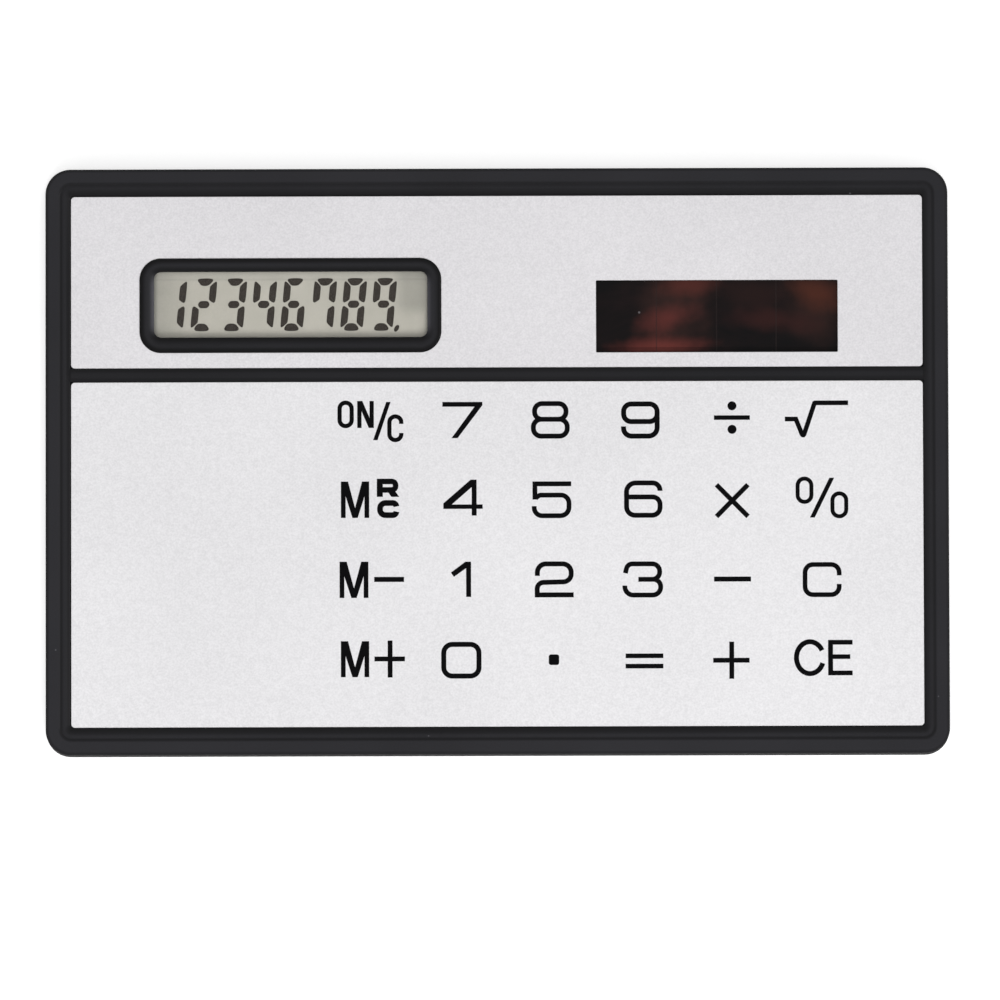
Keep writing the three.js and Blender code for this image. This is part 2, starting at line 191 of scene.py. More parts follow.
def combine(o, others, operation="UNION"):
    """Exact booleans, applied one after another; the other objects are removed."""
    for other in others:
        m = o.modifiers.new("cut", "BOOLEAN")
        m.operation, m.solver, m.object = operation, "EXACT", other
        with bpy.context.temp_override(object=o, active_object=o, selected_objects=[o]):
            bpy.ops.object.modifier_apply(modifier=m.name)
        if not o.data.vertices:
            raise RuntimeError(f"nothing left of {o.name} after {other.name}")
        bpy.data.objects.remove(other)
    return weld(o)


def cap(points, loops):
    """Triangles of a flat face: loops[0] is its outline and the others are holes, as lists of indices into points."""
    flat = [i for loop in loops for i in loop]
    at = {i: k for k, i in enumerate(flat)}
    sides = [(at[a], at[b]) for loop in loops for a, b in zip(loop, loop[1:] + loop[:1])]
    out, _, tris, origin, _, _ = delaunay_2d_cdt([Vector(points[i][:2]) for i in flat], sides, [], 0, 1e-6)
    outlines = [np.array([points[i][:2] for i in loop], float) for loop in loops]
    boxes = [(*s.min(0), *s.max(0)) for s in outlines]
    faces = []
    for t in tris:
        middle = [sum(out[i][k] for i in t) / 3 for k in (0, 1)]
        if covered(middle, outlines[:1], boxes[:1]) and not covered(middle, outlines[1:], boxes[1:]):
            faces.append(tuple(flat[origin[i][0]] for i in t))
    return faces


def plate(name, outer, holes, z0, z1, edge=0.0):
    """A flat sheet with holes. outer and holes are functions of an inset, so their edges can be chamfered."""
    points, faces = [], []

    def add(outline, z):
        first = len(points)
        points.extend((x, y, z) for x, y in outline)
        return list(range(first, first + len(outline)))

    rows = []
    for make, sign in [(outer, 1)] + [(h, -1) for h in holes]:
        bottom = add(make(0), z0)
        wall = add(make(0), z1 - edge) if edge else None
        top = add(make(edge * sign) if edge else make(0), z1)
        rows.append((bottom, wall, top))
        levels = [r for r in (bottom, wall, top) if r]
        n = len(bottom)
        for a, b in zip(levels, levels[1:]):
            for i in range(n):
                j = (i + 1) % n
                faces.append((a[i], a[j], b[j], b[i]))
    for which in (0, 2):
        faces += cap(points, [r[which] for r in rows])
    return solid(name, points, faces)


def covered(p, outlines, boxes):
    """True if p lies inside one of the outlines."""
    for s, (x0, y0, x1, y1) in zip(outlines, boxes):
        if not (x0 <= p[0] <= x1 and y0 <= p[1] <= y1):
            continue
        a, b = s, np.roll(s, -1, 0)
        cross = (a[:, 1] > p[1]) != (b[:, 1] > p[1])
        if not cross.any():
            continue
        a, b = a[cross], b[cross]
        at = a[:, 0] + (p[1] - a[:, 1]) * (b[:, 0] - a[:, 0]) / (b[:, 1] - a[:, 1])
        if int((at > p[0]).sum()) % 2:
            return True
    return False


def union_slab(shapes, z0, z1):
    """Overlapping 2-D shapes (lists of convex or simple polygons) joined into one raised print."""
    points, polygons = [], []
    for shape in shapes:
        first = len(points)
        points += [Vector(p) for p in shape]
        polygons.append(list(range(first, first + len(shape))))
    out, _, tris, _, _, _ = delaunay_2d_cdt(points, [], polygons, 0, 1e-5)
    outlines = [np.array(shape, float) for shape in shapes]
    boxes = [(*s.min(0), *s.max(0)) for s in outlines]
    tris = [t for t in tris if covered([sum(out[i][k] for i in t) / 3 for k in (0, 1)], outlines, boxes)]
    used = sorted({i for t in tris for i in t})
    at = {k: i for i, k in enumerate(used)}
    flat = [(out[k].x, out[k].y) for k in used]
    tris = [tuple(at[k] for k in t) for t in tris]
    n = len(flat)
    pts = [(x, y, z0) for x, y in flat] + [(x, y, z1) for x, y in flat]
    faces = [tuple(n + i for i in t) for t in tris] + [tuple(reversed(t)) for t in tris]
    seen = {}
    for t in tris:
        for a, b in zip(t, t[1:] + t[:1]):
            seen[(a, b)] = seen.get((a, b), 0) + 1
    for a, b in seen:
        if (b, a) not in seen:
            faces.append((a, b, n + b, n + a))
    return pts, faces


def densify(shape, step):
    """Adds points so that no side is longer than step."""
    out = []
    for p, q in zip(shape, shape[1:] + shape[:1]):
        k = max(1, math.ceil(math.dist(p, q) / step))
        out += [(p[0] + (q[0] - p[0]) * i / k, p[1] + (q[1] - p[1]) * i / k) for i in range(k)]
    return out


# ------------------------------------------------------------------ strokes
def filleted(points, closed=False, step=0.16):
    """A polyline with its marked corners rounded: points are (x, y) or (x, y, radius)."""
    line = []
    n = len(points)
    for i, p in enumerate(points):
        r = p[2] if len(p) > 2 else 0
        here = np.array(p[:2], float)
        if r <= 0 or (not closed and i in (0, n - 1)):
            line.append(tuple(here))
            continue
        a = np.array(points[i - 1][:2], float) - here
        b = np.array(points[(i + 1) % n][:2], float) - here
        la, lb = np.linalg.norm(a), np.linalg.norm(b)
        a, b = a / la, b / lb
        half = math.acos(max(-1, min(1, float(a @ b)))) / 2
        cut = min(r / math.tan(half), la * 0.5 if len(points) > 2 else la, lb * 0.5)
        # a corner next to a free end may use the whole of that side
        if not closed and i == 1:
            cut = min(r / math.tan(half), la, lb * 0.5)
        if not closed and i == n - 2:
            cut = min(r / math.tan(half), la * 0.5, lb)
        r = cut * math.tan(half)
        centre = here + (a + b) / np.linalg.norm(a + b) * (r / math.sin(half))
        s = here + a * cut - centre
        e = here + b * cut - centre
        t0, t1 = math.atan2(s[1], s[0]), math.atan2(e[1], e[0])
        turn = (t1 - t0 + math.pi) % (2 * math.pi) - math.pi
        k = max(3, math.ceil(abs(turn) * r / step))
        line += [tuple(centre + r * np.array([math.cos(t0 + turn * m / k), math.sin(t0 + turn * m / k)])) for m in range(k + 1)]
    return line


def stroke(line, width, closed=False, step=0.35):
    """Quads that cover a line drawn with a flat-ended pen of that width."""
    clean = [line[0]]
    for p in line[1:]:
        if math.dist(p, clean[-1]) > 1e-4:
            clean.append(p)
    if closed and math.dist(clean[0], clean[-1]) < 1e-4:
        clean.pop()
    dense = []
    ends = clean[1:] + clean[:1] if closed else clean[1:]
    for p, q in zip(clean, ends):
        k = max(1, math.ceil(math.dist(p, q) / step))
        dense += [(p[0] + (q[0] - p[0]) * i / k, p[1] + (q[1] - p[1]) * i / k) for i in range(k)]
    if not closed:
        dense.append(clean[-1])
    n = len(dense)
    left, right = [], []
    for i, p in enumerate(dense):
        before = dense[i - 1] if closed or i > 0 else None
        after = dense[(i + 1) % n] if closed or i < n - 1 else None
        ways = []
        if before is not None:
            ways.append(np.array(p) - np.array(before))
        if after is not None:
            ways.append(np.array(after) - np.array(p))
        ways = [w / np.linalg.norm(w) for w in ways]
        t = sum(ways)
        t = t / np.linalg.norm(t)
        normal = np.array([-t[1], t[0]])
        reach = width / 2 / max(0.35, float(normal @ np.array([-ways[0][1], ways[0][0]])))
        left.append(tuple(np.array(p) + normal * reach))
        right.append(tuple(np.array(p) - normal * reach))
    quads = []
    for i in range(n if closed else n - 1):
        j = (i + 1) % n
        quads.append([left[i], right[i], right[j], left[j]])
    return quads


def shapes_of(strokes):
    """Polygons of a legend from its stroke list."""
    out = []
    for s in strokes:
        kind = s[0]
        if kind == "loop":
            _, x0, y0, x1, y1, r, w = s
            out += stroke(rounded(x0, y0, x1, y1, r, 8), w, closed=True)
        elif kind == "path":
            out += stroke(filleted(s[1]), s[2])
        elif kind == "poly":
            out.append(densify(s[1], 0.35))
        elif kind == "rect":
            x0, y0, x1, y1 = s[1:]
            out.append(densify([(x0, y0), (x1, y0), (x1, y1), (x0, y1)], 0.35))
        elif kind == "disc":
            _, x, y, r = s
            out.append([(x + r * math.cos(math.pi * i / 14), y + r * math.sin(math.pi * i / 14)) for i in range(28)])
        elif kind == "block":
            out.append(rounded(*s[1:5], s[5], 4))
        elif kind == "arc":
            _, x, y, rx, ry, t0, t1, w = s
            line = [(x + rx * math.cos(math.radians(t)), y + ry * math.sin(math.radians(t))) for t in np.linspace(t0, t1, 40)]
            out += stroke(line, w)
    return out


def letter_m(x0, x1, y0, y1, stem=0.45, shoulder=0.68, foot=0.50):
    """Condensed capital M: two stems and two diagonals meeting at the foot."""
    xm = (x0 + x1) / 2
    return [
        ("rect", x0, y0, x0 + stem, y1),
        ("rect", x1 - stem, y0, x1, y1),
        ("poly", [(x0, y1), (xm - foot / 2, y0), (xm + foot / 2, y0), (x0 + shoulder, y1)]),
        ("poly", [(x1 - shoulder, y1), (xm - foot / 2, y0), (xm + foot / 2, y0), (x1, y1)]),
    ]


# Key legends, millimetres from each key's centre.
LEGENDS = {
    "key_on_c": [
        ("loop", -2.93, -0.61, -1.78, 1.62, 0.57, 0.41),
        ("rect", -1.25, -0.80, -0.84, 1.78),
        ("rect", -0.08, -0.80, 0.33, 1.78),
        ("poly", [(-1.25, 1.78), (-0.16, -0.80), (0.33, -0.80), (-0.76, 1.78)]),
        ("poly", [(1.51, 1.68), (0.26, -1.97), (0.68, -1.97), (1.93, 1.68)]),
        ("path", [(2.94, -0.42), (2.94, 0.29, 0.55), (1.81, 0.29, 0.55), (1.81, -1.96, 0.55), (2.94, -1.96, 0.55), (2.94, -1.29)], 0.41),
    ],
    "key_7": [("poly", [(-1.71, 1.66), (-1.71, 1.21), (1.35, 1.21), (-0.85, -1.80), (-0.27, -1.80), (2.10, 1.34), (2.10, 1.66)])],
    "key_8": [("loop", -1.50, -0.02, 1.49, 1.48, 0.70, 0.47), ("loop", -1.62, -1.63, 1.61, -0.02, 0.74, 0.47)],
    "key_9": [
        ("loop", -1.59, -0.26, 1.60, 1.42, 0.72, 0.48),
        ("path", [(1.60, 0.65), (1.60, -1.65, 0.81), (-1.60, -1.65, 0.76), (-1.60, -0.72)], 0.48),
    ],
    "key_divide": [("disc", 0.16, 1.22, 0.43), ("disc", 0.16, -1.03, 0.43), ("rect", -1.56, -0.12, 1.86, 0.31)],
    "key_sqrt": [("path", [(-3.38, -0.06), (-2.33, -0.06), (-1.64, -1.79, 0.10), (-0.54, 1.48, 0.05), (2.65, 1.48)], 0.445)],
    "key_mrc": letter_m(-2.82, -0.13, -1.74, 1.74)
    + [
        ("rect", 0.60, 0.27, 1.17, 2.00),
        ("path", [(0.82, 1.74), (2.39, 1.74, 0.36), (2.39, 0.93, 0.36), (0.82, 0.93)], 0.53),
        ("poly", [(1.52, 0.92), (1.98, 0.27), (2.73, 0.27), (2.27, 0.92)]),
        ("path", [(2.46, -0.66), (2.46, -0.32, 0.40), (0.90, -0.32, 0.52), (0.90, -1.48, 0.52), (2.46, -1.48, 0.40), (2.46, -1.14)], 0.55),
    ],
    "key_4": [
        ("rect", 1.06, -1.54, 1.53, 1.89),
        ("rect", -1.64, -0.90, 2.10, -0.48),
        ("poly", [(0.96, 1.89), (-1.64, -0.37), (-1.64, -0.87), (-0.94, -0.57), (1.52, 1.58), (1.52, 1.89)]),
    ],
    "key_5": [
        ("path", [(1.97, 1.47), (-1.49, 1.47), (-1.49, -0.03)], 0.46),
        ("path", [(-1.42, 0.12), (-1.05, 0.39, 0.40), (1.75, 0.39, 0.76), (1.75, -1.58, 0.81), (-1.56, -1.58, 0.76), (-1.56, -0.66)], 0.46),
    ],
    "key_6": [
        ("path", [(1.85, 0.77), (1.85, 1.53, 0.71), (-1.34, 1.53, 0.86), (-1.34, -1.56, 0.81), (1.85, -1.56, 0.76), (1.85, 0.19, 0.71), (-1.34, 0.19)], 0.47),
    ],
    "key_multiply": [("path", [(-1.35, 1.34), (1.65, -1.70)], 0.465), ("path", [(1.65, 1.34), (-1.35, -1.70)], 0.465)],
    "key_percent": [
        ("loop", -2.19, -0.32, -0.88, 1.90, 0.65, 0.39),
        ("loop", 1.12, -1.71, 2.43, 0.48, 0.65, 0.39),
        ("poly", [(0.84, 1.98), (-1.03, -1.82), (-0.57, -1.82), (1.30, 1.98)]),
    ],
    "key_m_minus": letter_m(-2.96, -0.22, -1.72, 1.74) + [("rect", 0.33, -0.20, 3.17, 0.28)],
    "key_1": [("rect", 0.51, -1.65, 0.98, 1.71), ("poly", [(0.44, 1.71), (-0.94, 0.68), (-0.65, 0.27), (0.97, 1.42), (0.98, 1.71)])],
    "key_2": [("path", [(-1.28, 0.34), (-1.28, 1.48, 0.81), (1.94, 1.48, 0.81), (1.94, -0.22, 0.76), (-1.30, -0.30, 0.70), (-1.30, -1.48), (2.17, -1.48)], 0.47)],
    "key_3": [
        ("path", [(-1.47, 0.57), (-1.27, 1.46, 0.57), (1.79, 1.46, 0.71), (1.79, -0.02, 0.69), (-0.24, -0.02)], 0.46),
        ("path", [(-0.24, -0.02), (1.88, -0.02, 0.69), (1.88, -1.52, 0.76), (-1.53, -1.52, 0.81), (-1.53, -0.61)], 0.46),
    ],
    "key_minus": [("rect", -1.61, -0.25, 1.91, 0.22)],
    "key_c": [("path", [(1.73, 0.31), (1.73, 1.35, 0.76), (-1.52, 1.35, 0.76), (-1.52, -1.53, 0.76), (1.73, -1.53, 0.76), (1.73, -0.51)], 0.45)],
    "key_m_plus": letter_m(-2.85, -0.16, -1.62, 1.81) + [("rect", 0.34, -0.12, 3.24, 0.34), ("rect", 1.60, -1.66, 2.06, 1.87)],
    "key_0": [("loop", -1.64, -1.54, 1.71, 1.48, 0.82, 0.48)],
    "key_decimal": [("block", -0.22, -0.51, 0.77, 0.50, 0.22)],
    "key_equals": [("rect", -1.48, 0.12, 2.11, 0.56), ("rect", -1.48, -0.86, 2.11, -0.42)],
    "key_plus": [("rect", -1.72, -0.335, 1.74, 0.125), ("rect", -0.185, -1.87, 0.275, 1.67)],
    "key_ce": [
        ("arc", -1.08, 0.12, 1.29, 1.52, 27, 340, 0.48),
        ("rect", 0.64, -1.57, 1.11, 1.81),
        ("rect", 0.64, 1.36, 2.97, 1.81),
        ("rect", 0.64, -0.01, 2.75, 0.43),
        ("rect", 0.64, -1.57, 2.97, -1.12),
    ],
}

# ------------------------------------------------------------------ material helpers
class Nodes:
    """A node tree with short calls. P is the place on the object in millimetres."""

    def __init__(self, name):
        self.material = bpy.data.materials.new(name)
        self.material.use_nodes = True
        self.tree = self.material.node_tree
        self.tree.nodes.clear()
        self.out = self.add("ShaderNodeOutputMaterial")
        place = self.add("ShaderNodeTexCoord").outputs["Object"]
        self.P = self.vector("SCALE", place, scale=1000.0)

    def add(self, kind, **settings):
        node = self.tree.nodes.new(kind)
        for k, v in settings.items():
            setattr(node, k, v)
        return node

    def put(self, socket, value):
        if isinstance(value, bpy.types.NodeSocket):
            self.tree.links.new(value, socket)
        elif value is not None:
            socket.default_value = value

    def vector(self, operation, a, b=None, scale=None):
        node = self.add("ShaderNodeVectorMath", operation=operation)
        self.put(node.inputs[0], a)
        self.put(node.inputs[1], b)
        if scale is not None:
            node.inputs["Scale"].default_value = scale
        return node.outputs["Value"] if operation in ("LENGTH", "DISTANCE") else node.outputs["Vector"]

    def math(self, operation, a, b=None, c=None, clamp=False):
        node = self.add("ShaderNodeMath", operation=operation, use_clamp=clamp)
        for i, v in enumerate((a, b, c)):
            self.put(node.inputs[i], v)
        return node.outputs[0]

    def split(self, vector):
        node = self.add("ShaderNodeSeparateXYZ")
        self.put(node.inputs[0], vector)
        return node.outputs

    def noise(self, scale, detail=2.0, roughness=0.5, at=None, distortion=0.0, dimensions="3D"):
        node = self.add("ShaderNodeTexNoise", noise_dimensions=dimensions)
        self.put(node.inputs["Vector"], self.P if at is None else at)
        node.inputs["Scale"].default_value = scale
        node.inputs["Detail"].default_value = detail
        node.inputs["Roughness"].default_value = roughness
        node.inputs["Distortion"].default_value = distortion
        return node.outputs["Fac"]

    def voronoi(self, scale, feature="F1", randomness=1.0, at=None):
        node = self.add("ShaderNodeTexVoronoi", feature=feature)
        self.put(node.inputs["Vector"], self.P if at is None else at)
        node.inputs["Scale"].default_value = scale
        node.inputs["Randomness"].default_value = randomness
        return node.outputs

    def ramp(self, value, stops, interpolation="LINEAR"):
        node = self.add("ShaderNodeValToRGB")
        self.put(node.inputs[0], value)
        node.color_ramp.interpolation = interpolation
        ends = node.color_ramp.elements
        while len(ends) > len(stops):
            ends.remove(ends[-1])
        while len(ends) < len(stops):
            ends.new(1.0)
        for e, (p, c) in zip(ends, stops):
            e.position = p
            e.color = (*c, 1) if len(c) == 3 else c
        return node.outputs["Color"]

    def range(self, value, a, b, c=0.0, d=1.0, smooth=False):
        node = self.add("ShaderNodeMapRange", interpolation_type="SMOOTHSTEP" if smooth else "LINEAR")
        self.put(node.inputs["Value"], value)
        for k, v in zip(("From Min", "From Max", "To Min", "To Max"), (a, b, c, d)):
            self.put(node.inputs[k], v)
        return node.outputs[0]

    def mix(self, share, a, b, blend="MIX"):
        node = self.add("ShaderNodeMix", data_type="RGBA", blend_type=blend)
        self.put(node.inputs[0], share)
        self.put(node.inputs[6], (*a, 1) if isinstance(a, tuple) and len(a) == 3 else a)
        self.put(node.inputs[7], (*b, 1) if isinstance(b, tuple) and len(b) == 3 else b)
        return node.outputs[2]

    def bump(self, height, strength, distance):
        node = self.add("ShaderNodeBump")
        self.put(node.inputs["Height"], height)
        node.inputs["Strength"].default_value = strength
        node.inputs["Distance"].default_value = distance * MM
        return node.outputs["Normal"]

    def principled(self, colour, roughness, normal=None, **plain):
        node = self.add("ShaderNodeBsdfPrincipled")
        self.put(node.inputs["Base Color"], (*colour, 1) if isinstance(colour, tuple) and len(colour) == 3 else colour)
        self.put(node.inputs["Roughness"], roughness)
        if normal is not None:
            self.put(node.inputs["Normal"], normal)
        for k, v in plain.items():
            self.put(node.inputs[k.replace("_", " ")], v)
        self.tree.links.new(node.outputs[0], self.out.inputs[0])
        return node


def grey(v, r=1.0, b=1.0):
    return (v * r, v, v * b)


def black_plastic(name, base, roughness=0.44, specks=0.5, spark=1.0, mouldings=False):
    """Moulded black plastic: fine spark texture, slow tone drift, a few pale dust specks, painted shade on the outer
    walls.
    With mouldings the flat band stays sparked and everything inside it is smoother, with painted shade in its hollows
    and low parts and painted highlights on its crests."""
    n = Nodes(name)
    x, y, z = n.split(n.P)
    # distance in from the rounded outline
    qx = n.math("SUBTRACT", n.math("ABSOLUTE", x), HX - CORNER_R)
    qy = n.math("SUBTRACT", n.math("ABSOLUTE", y), HY - CORNER_R)
    ux, uy = n.math("MAXIMUM", qx, 0.0), n.math("MAXIMUM", qy, 0.0)
    corner = n.math("SQRT", n.math("ADD", n.math("MULTIPLY", ux, ux), n.math("MULTIPLY", uy, uy)))
    flat = n.math("MINIMUM", n.math("MAXIMUM", qx, qy), 0.0)
    d = n.math("SUBTRACT", CORNER_R, n.math("ADD", corner, flat))

    drift = n.noise(0.09, 2.0, 0.5)
    grain = n.noise(7.0, 3.0, 0.6)
    colour = n.mix(n.range(drift, 0.3, 0.7), tuple(c * 0.86 for c in base), tuple(c * 1.14 for c in base))
    colour = n.mix(n.range(grain, 0.25, 0.75, 0.0, 0.5), colour, tuple(c * 1.5 for c in base))
    height = n.math("ADD", n.noise(9.0, 2.0, 0.5), n.math("MULTIPLY", n.noise(22.0, 1.0, 0.5), 0.5))
    rough = n.range(grain, 0.3, 0.7, roughness - 0.05, roughness + 0.07)
    if mouldings:
        # painted shade and highlight across the rim: outer edge, groove and inner slope darkened, the crest lighter
        stops = ((0.0, 0.80), (0.12, 1.0), (0.40, 1.0), (0.46, 0.50), (0.51, 0.47), (0.555, 0.74), (0.61, 0.78), (0.69, 0.50), (0.80, 0.28))
        rim = n.ramp(n.math("DIVIDE", d, 3.0), [(p, (v, v, v)) for p, v in stops])
        # painted shade: the parts inside the rim are darker the lower they lie and lighter on the crests of bar and
        # bezel
        painted_light_inside = n.range(z, 2.76, 2.92, 0.24, 0.74)
        # painted highlight: the two short sides of the display frame and their feet are lightened where they fall to
        # the window, most at mid height
        west = n.math("MULTIPLY", n.range(x, WINDOW[0] - 0.75, WINDOW[0], 0.0, 1.0, smooth=True), n.math("LESS_THAN", x, WINDOW[0] + 0.3))
        east = n.math("MULTIPLY", n.range(x, WINDOW[2] + 0.85, WINDOW[2], 0.0, 1.0, smooth=True), n.math("GREATER_THAN", x, WINDOW[2] - 0.3))
        level = n.range(n.math("ABSOLUTE", n.math("SUBTRACT", y, 15.03)), 1.7, 3.3, 1.0, 0.0, smooth=True)
        foot_w = n.math("MULTIPLY", n.range(x, WINDOW[0] - 0.50, WINDOW[0], 0.0, 2.0, smooth=True), n.math("LESS_THAN", x, WINDOW[0] + 0.3))
        foot_e = n.math("MULTIPLY", n.range(x, WINDOW[2] + 0.46, WINDOW[2], 0.0, 1.6, smooth=True), n.math("GREATER_THAN", x, WINDOW[2] - 0.3))
        painted_highlight = n.math("ADD", n.math("MULTIPLY", n.math("MAXIMUM", west, east), 1.15), n.math("MAXIMUM", foot_w, foot_e))
        # painted shade: the outer edge of the display frame is darkened where its rounding falls away
        rx = n.math("SUBTRACT", n.math("ABSOLUTE", n.math("SUBTRACT", x, (RING[0] + RING[2]) / 2)), (RING[2] - RING[0]) / 2 - 2.0)
        ry = n.math("SUBTRACT", n.math("ABSOLUTE", n.math("SUBTRACT", y, (RING[1] + RING[3]) / 2)), (RING[3] - RING[1]) / 2 - 2.0)
        vx, vy = n.math("MAXIMUM", rx, 0.0), n.math("MAXIMUM", ry, 0.0)
        turn = n.math("SQRT", n.math("ADD", n.math("MULTIPLY", vx, vx), n.math("MULTIPLY", vy, vy)))
        inside = n.math("SUBTRACT", 2.0, n.math("ADD", turn, n.math("MINIMUM", n.math("MAXIMUM", rx, ry), 0.0)))
        roll = n.math("MAXIMUM", n.range(inside, 0.12, 0.62, 0.22, 1.0, smooth=True), n.math("LESS_THAN", inside, -0.3))
        painted_light_inside = n.math("MULTIPLY", n.math("ADD", painted_light_inside, n.math("MULTIPLY", painted_highlight, level)), roll)
        # the painted light: the rim's tone on the rim, the inside tone within it, multiplied into the colour
        tone = n.mix(n.math("GREATER_THAN", d, 2.42), rim, painted_light_inside)
        colour = n.mix(1.0, colour, tone, "MULTIPLY")
        band = n.range(d, 1.22, 1.36, 1.0, 0.0, smooth=True)
        height = n.math("MULTIPLY", height, n.range(band, 0.0, 1.0, 0.45, 1.0))
        rough = n.math("ADD", rough, n.range(band, 0.0, 1.0, -0.05, 0.04))
    cells = n.voronoi(0.62)
    near = n.range(cells["Distance"], 0.030, 0.062, 1.0, 0.0)
    chosen = n.math("GREATER_THAN", n.split(cells["Color"])[0], 1.0 - 0.42 * specks)
    dust = n.math("MULTIPLY", near, chosen)
    colour = n.mix(n.math("MULTIPLY", dust, 0.42), colour, (0.16, 0.16, 0.175))
    # the walls are the roughest part of the tool, so they give less gloss back
    rough = n.math("ADD", rough, n.range(d, 0.02, 0.35, 0.34, 0.0))
    # painted shade: the outer walls' colour is darkened to about a third of the base
    colour = n.mix(n.range(d, 0.02, 0.35, 1.0, 0.0), colour, tuple(c * 0.35 for c in base))
    n.principled(colour, rough, n.bump(height, 0.35 * spark, 0.02), IOR=1.42, Specular_IOR_Level=0.26)
    return n.material


def silver(name, low, high, grain_share=1.0):
    """Silver paint on film: fine metallic grain, slow cloudiness, a satin surface."""
    n = Nodes(name)
    fine = n.noise(5.2, 2.0, 0.62)
    coarse = n.noise(1.7, 2.0, 0.5)
    cloud = n.noise(0.05, 1.0, 0.5)
    share = n.math("MULTIPLY", n.range(fine, 0.32, 0.68), 0.62 * grain_share)
    share = n.math("ADD", share, n.math("MULTIPLY", n.range(coarse, 0.3, 0.7), 0.2))
    share = n.math("ADD", share, n.math("MULTIPLY", n.range(cloud, 0.35, 0.65), 0.18))
    colour = n.mix(share, low, high)
    rough = n.range(fine, 0.3, 0.7, 0.36, 0.48)
    n.principled(colour, rough, n.bump(n.noise(6.5, 2.0, 0.6), 0.10, 0.02), Metallic=0.20, IOR=1.46)
    return n.material


# ------------------------------------------------------------------ materials
CASE = black_plastic("case_black", (0.0168, 0.0166, 0.0194), mouldings=True)
BACK = black_plastic("case_back_black", (0.0120, 0.0120, 0.0138), 0.5, 0.35, 1.6)
PLATE = silver("faceplate_silver", (0.652, 0.640, 0.660), (0.816, 0.801, 0.823))
FILM = silver("film_silver", (0.686, 0.679, 0.694), (0.852, 0.844, 0.861))


def ink():
    n = Nodes("legend_ink")
    grain = n.noise(8.0, 3.0, 0.6)
    colour = n.mix(n.range(grain, 0.3, 0.7), (0.0016, 0.0016, 0.0020), (0.0046, 0.0045, 0.0053))
    n.principled(colour, n.range(grain, 0.3, 0.7, 0.48, 0.6), n.bump(n.noise(12.0), 0.15, 0.01), IOR=1.4, Specular_IOR_Level=0.05)
    return n.material


def polarizer():
    """The display's grey-green face: brightest in the middle, with painted shade along the frame and a painted dim
    patch at the upper right; a faint greyer band with a thin darker line at the top.
    """
    n = Nodes("display_face")
    x, y, _ = n.split(n.P)
    cloud = n.noise(0.22, 3.0, 0.55)
    fine = n.noise(6.0, 2.0, 0.6)
    colour = n.mix(n.range(cloud, 0.3, 0.7), (0.478, 0.453, 0.402), (0.520, 0.494, 0.440))
    colour = n.mix(n.range(fine, 0.3, 0.7, 0.0, 0.3), colour, (0.590, 0.560, 0.502))
    band = n.range(y, 17.2, 17.7, 0.0, 0.10, smooth=True)
    colour = n.mix(band, colour, (0.46, 0.45, 0.44))
    seal = n.math("ABSOLUTE", n.math("SUBTRACT", y, 17.47))
    colour = n.mix(n.range(seal, 0.16, 0.03, 0.0, 0.13, smooth=True), colour, (0.16, 0.155, 0.15))
    # painted shade along the left, right and lower edges of the window, and a painted dim patch at the upper right
    left = n.math("MAXIMUM", n.range(x, WINDOW[0] - 0.05, WINDOW[0] + 0.75, 0.60, 0.0, smooth=True), n.range(x, WINDOW[0], WINDOW[0] + 4.2, 0.26, 0.0, smooth=True))
    right = n.range(x, WINDOW[2] - 0.45, WINDOW[2] + 0.05, 0.0, 0.45, smooth=True)
    foot = n.range(y, WINDOW[1] - 0.05, WINDOW[1] + 0.40, 0.35, 0.0, smooth=True)
    dim = n.math("MULTIPLY", n.range(x, -10.2, -8.6, 0.0, 1.0, smooth=True), n.range(y, 13.6, 15.2, 0.0, 0.34, smooth=True))
    shade = n.math("MAXIMUM", n.math("MAXIMUM", left, right), n.math("MAXIMUM", foot, dim))
    colour = n.mix(shade, colour, (0.17, 0.17, 0.155))
    n.principled(colour, 0.55, n.bump(n.noise(8.0), 0.08, 0.01), IOR=1.2)
    return n.material


def crystal():
    n = Nodes("display_digits")
    grain = n.noise(5.0, 2.0, 0.5)
    colour = n.mix(n.range(grain, 0.3, 0.7), (0.032, 0.0258, 0.0218), (0.050, 0.0410, 0.0350))
    n.principled(colour, n.range(grain, 0.3, 0.7, 0.45, 0.6), n.bump(n.noise(9.0), 0.1, 0.005), IOR=1.2)
    return n.material


def clear_window():
    """Clear cover: what is behind shows through, and a thin gloss lies over it."""
    n = Nodes("window_clear")
    through = n.add("ShaderNodeBsdfTransparent")
    haze = n.noise(0.6, 2.0, 0.5)
    n.put(through.inputs[0], n.mix(n.range(haze, 0.3, 0.7), (0.965, 0.970, 0.965), (0.985, 0.988, 0.985)))
    gloss = n.add("ShaderNodeBsdfGlossy")
    gloss.inputs["Color"].default_value = (0.9, 0.9, 0.9, 1)
    n.put(gloss.inputs["Roughness"], n.range(n.noise(1.5, 2.0), 0.3, 0.7, 0.05, 0.09))
    fresnel = n.add("ShaderNodeFresnel")
    fresnel.inputs["IOR"].default_value = 1.34
    back = n.add("ShaderNodeNewGeometry").outputs["Backfacing"]
    share = n.math("MULTIPLY", fresnel.outputs[0], n.math("SUBTRACT", 1.0, back))
    both = n.add("ShaderNodeMixShader")
    n.put(both.inputs[0], share)
    n.put(both.inputs[1], through.outputs[0])
    n.put(both.inputs[2], gloss.outputs[0])
    n.put(n.out.inputs[0], both.outputs[0])
    return n.material


CELL_LINES = (15.21, 20.95, 26.62)  # gaps between the four strips of the cell


